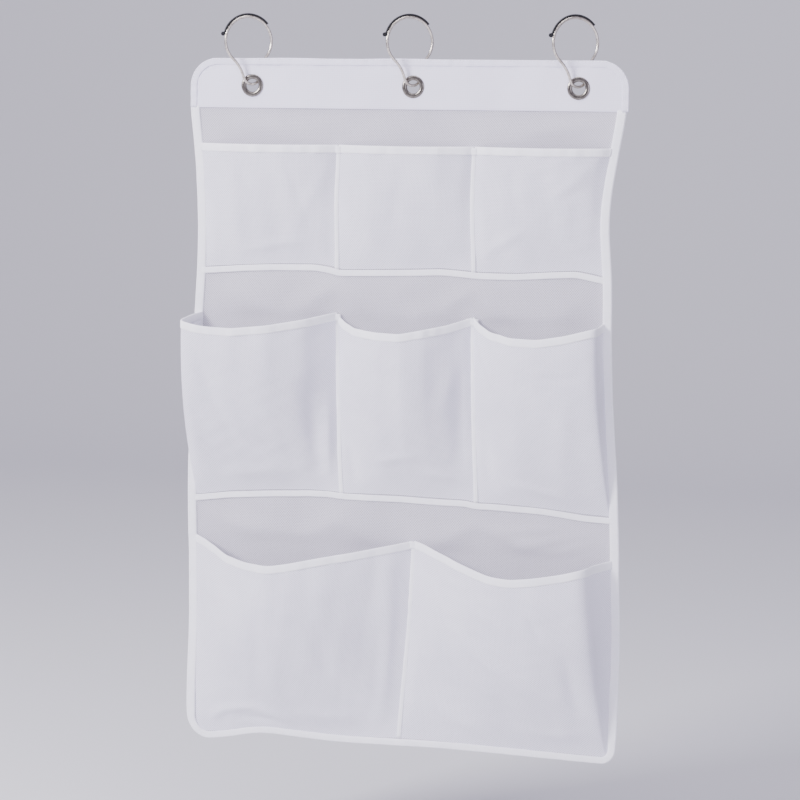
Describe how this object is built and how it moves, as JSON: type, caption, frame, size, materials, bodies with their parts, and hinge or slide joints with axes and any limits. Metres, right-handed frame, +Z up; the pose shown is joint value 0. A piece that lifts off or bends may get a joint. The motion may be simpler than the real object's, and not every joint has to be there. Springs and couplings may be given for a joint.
{
  "type": "hanging pocket organizer",
  "caption": "Hanging mesh organizer with a cloth header, metal eyelets and wire rings, and rows of open gusseted pockets bound with white tape.",
  "frame": {"origin": "centre of the panel's flat rear face, at mid height and mid width", "axes": "+Z up along the panel's height, +X to the viewer's right, +Y out of the rear face, so the pockets face -Y"},
  "size_m": [0.476, 0.0589, 0.7978],
  "materials": {
    "mesh_cloth": "fine open warp-knit polyester mesh, matt",
    "header_cloth": "plain white woven polyester, matt",
    "binding_tape": "white folded polyester binding tape with a line of stitches",
    "eyelet_metal": "nickel-plated, polished",
    "ring_wire": "nickel-plated drawn steel wire",
    "ring_guard": "black plastic"
  },
  "bodies": {
    "panel": {"back_mesh": "mesh_cloth", "bar_tacks": "binding_tape", "binding_bottom": "binding_tape", "binding_left": "binding_tape", "binding_right": "binding_tape", "divider_row1_1": "binding_tape", "divider_row1_2": "binding_tape", "divider_row2_1": "binding_tape", "divider_row2_2": "binding_tape", "divider_row3_1": "binding_tape", "eyelet_centre": "eyelet_metal", "eyelet_left": "eyelet_metal", "eyelet_right": "eyelet_metal", "eyelet_washer_centre": "eyelet_metal", "eyelet_washer_left": "eyelet_metal", "eyelet_washer_right": "eyelet_metal", "header_back": "header_cloth", "header_front": "header_cloth", "header_hem": "header_cloth", "seam_tape_row1": "binding_tape", "seam_tape_row2": "binding_tape"},
    "pocket_11": {"pocket_11_front": "mesh_cloth", "pocket_11_gussets": "mesh_cloth", "pocket_11_rim": "binding_tape"},
    "pocket_12": {"pocket_12_front": "mesh_cloth", "pocket_12_gussets": "mesh_cloth", "pocket_12_rim": "binding_tape"},
    "pocket_13": {"pocket_13_front": "mesh_cloth", "pocket_13_gussets": "mesh_cloth", "pocket_13_rim": "binding_tape"},
    "pocket_21": {"pocket_21_front": "mesh_cloth", "pocket_21_gussets": "mesh_cloth", "pocket_21_rim": "binding_tape"},
    "pocket_22": {"pocket_22_front": "mesh_cloth", "pocket_22_gussets": "mesh_cloth", "pocket_22_rim": "binding_tape"},
    "pocket_23": {"pocket_23_front": "mesh_cloth", "pocket_23_gussets": "mesh_cloth", "pocket_23_rim": "binding_tape"},
    "pocket_31": {"pocket_31_front": "mesh_cloth", "pocket_31_gussets": "mesh_cloth", "pocket_31_rim": "binding_tape"},
    "pocket_32": {"pocket_32_front": "mesh_cloth", "pocket_32_gussets": "mesh_cloth", "pocket_32_rim": "binding_tape"},
    "ring_left": {"ring_left": "ring_wire", "ring_left_guard": "ring_guard"},
    "ring_centre": {"ring_centre": "ring_wire", "ring_centre_guard": "ring_guard"},
    "ring_right": {"ring_right": "ring_wire", "ring_right_guard": "ring_guard"}
  },
  "joints": [
    {"name": "pocket_11_mouth", "type": "hinge", "parent": "panel", "child": "pocket_11", "pos_m": [0, -0.0011, 0.1512], "axis": [1, 0, 0], "range_deg": [-1.7, 5], "stiffness_Nm_per_rad": 0.3, "deforming": ["pocket_11_gussets"]},
    {"name": "pocket_12_mouth", "type": "hinge", "parent": "panel", "child": "pocket_12", "pos_m": [0, -0.0011, 0.1512], "axis": [1, 0, 0], "range_deg": [-1.7, 5], "stiffness_Nm_per_rad": 0.3, "deforming": ["pocket_12_gussets"]},
    {"name": "pocket_13_mouth", "type": "hinge", "parent": "panel", "child": "pocket_13", "pos_m": [0, -0.0011, 0.1512], "axis": [1, 0, 0], "range_deg": [-1.7, 5], "stiffness_Nm_per_rad": 0.3, "deforming": ["pocket_13_gussets"]},
    {"name": "pocket_21_mouth", "type": "hinge", "parent": "panel", "child": "pocket_21", "pos_m": [0, -0.0011, -0.0978], "axis": [1, 0, 0], "range_deg": [-9.7, 5.8], "stiffness_Nm_per_rad": 0.8, "deforming": ["pocket_21_gussets"]},
    {"name": "pocket_22_mouth", "type": "hinge", "parent": "panel", "child": "pocket_22", "pos_m": [0, -0.0011, -0.0978], "axis": [1, 0, 0], "range_deg": [-7, 5.9], "stiffness_Nm_per_rad": 0.8, "deforming": ["pocket_22_gussets"]},
    {"name": "pocket_23_mouth", "type": "hinge", "parent": "panel", "child": "pocket_23", "pos_m": [0, -0.0011, -0.0978], "axis": [1, 0, 0], "range_deg": [-7.5, 5.9], "stiffness_Nm_per_rad": 0.8, "deforming": ["pocket_23_gussets"]},
    {"name": "pocket_31_mouth", "type": "hinge", "parent": "panel", "child": "pocket_31", "pos_m": [0, -0.0011, -0.3653], "axis": [1, 0, 0], "range_deg": [-8.4, 5.8], "stiffness_Nm_per_rad": 1, "deforming": ["pocket_31_gussets"]},
    {"name": "pocket_32_mouth", "type": "hinge", "parent": "panel", "child": "pocket_32", "pos_m": [0, -0.0011, -0.3653], "axis": [1, 0, 0], "range_deg": [-8.9, 5.8], "stiffness_Nm_per_rad": 1, "deforming": ["pocket_32_gussets"]},
    {"name": "ring_left_swing", "type": "hinge", "parent": "panel", "child": "ring_left", "pos_m": [-0.169, -0.0012, 0.346], "axis": [0, 1, 0], "range_deg": [-48, 60]},
    {"name": "ring_centre_swing", "type": "hinge", "parent": "panel", "child": "ring_centre", "pos_m": [0.008, -0.0012, 0.346], "axis": [0, 1, 0], "range_deg": [-48, 60]},
    {"name": "ring_right_swing", "type": "hinge", "parent": "panel", "child": "ring_right", "pos_m": [0.185, -0.0012, 0.346], "axis": [0, 1, 0], "range_deg": [-48, 60]}
  ]
}
